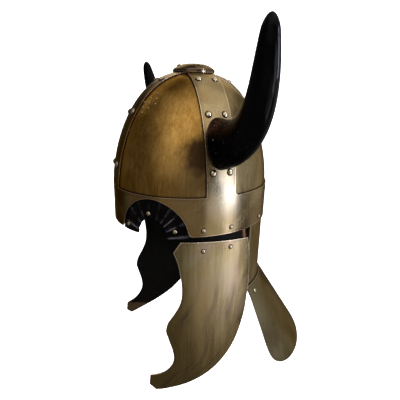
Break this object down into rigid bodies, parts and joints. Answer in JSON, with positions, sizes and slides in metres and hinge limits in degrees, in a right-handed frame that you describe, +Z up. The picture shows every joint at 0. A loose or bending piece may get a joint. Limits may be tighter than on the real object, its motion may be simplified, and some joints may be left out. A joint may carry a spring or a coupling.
{
  "type": "horned helmet",
  "caption": "Viking-style spangenhelm in antique brass with a riveted bowl, curved horns, cheek guards hung on leather, leather-lined eye arches and a flared neck guard.",
  "frame": {"origin": "the middle of the bowl's plan, level with the top edge of the brow band, where the wearer's head is", "axes": "+Z up, -Y out of the face, +X to the wearer's left"},
  "size_m": [0.403, 0.3046, 0.4574],
  "materials": {
    "frame": "antique brass, vertically brushed, pale olive sheen",
    "panel": "antique brass, brushed, warm brown patina",
    "guard": "antique brass, mottled grey-olive patina",
    "neck": "antique brass, dark olive-brown patina",
    "rivet": "polished",
    "horn": "polished black horn",
    "leather": "black, slightly shiny"
  },
  "bodies": {
    "root": {"band_rivet_left_back": "rivet", "band_rivet_left_front": "rivet", "band_rivet_right_back": "rivet", "band_rivet_right_front": "rivet", "bowl_frame": "frame", "cheek_guard_left": "guard", "cheek_guard_right": "guard", "crown_cap": "frame", "eye_lining_left": "leather", "eye_lining_right": "leather", "flare_rivet_left": "rivet", "flare_rivet_right": "rivet", "guard_rivet_left_back": "rivet", "guard_rivet_left_front": "rivet", "guard_rivet_right_back": "rivet", "guard_rivet_right_front": "rivet", "hinge_strap_left": "leather", "hinge_strap_right": "leather", "horn_left": "horn", "horn_right": "horn", "lining_rivet_left_back": "rivet", "lining_rivet_left_front": "rivet", "lining_rivet_left_top": "rivet", "lining_rivet_right_back": "rivet", "lining_rivet_right_front": "rivet", "lining_rivet_right_top": "rivet", "neck_flare": "neck", "neck_plate": "neck", "neck_rivet_left": "rivet", "neck_rivet_right": "rivet", "panel_back_left": "panel", "panel_back_right": "panel", "panel_front_left": "panel", "panel_front_right": "panel", "strip_rivet_back_high_a": "rivet", "strip_rivet_back_high_b": "rivet", "strip_rivet_back_low_a": "rivet", "strip_rivet_back_low_b": "rivet", "strip_rivet_back_middle_a": "rivet", "strip_rivet_back_middle_b": "rivet", "strip_rivet_front_high_a": "rivet", "strip_rivet_front_high_b": "rivet", "strip_rivet_front_low_a": "rivet", "strip_rivet_front_low_b": "rivet", "strip_rivet_front_middle_a": "rivet", "strip_rivet_front_middle_b": "rivet", "strip_rivet_left_high_a": "rivet", "strip_rivet_left_high_b": "rivet", "strip_rivet_left_low_a": "rivet", "strip_rivet_left_low_b": "rivet", "strip_rivet_left_middle_a": "rivet", "strip_rivet_left_middle_b": "rivet", "strip_rivet_right_high_a": "rivet", "strip_rivet_right_high_b": "rivet", "strip_rivet_right_low_a": "rivet", "strip_rivet_right_low_b": "rivet", "strip_rivet_right_middle_a": "rivet", "strip_rivet_right_middle_b": "rivet"}
  },
  "joints": []
}
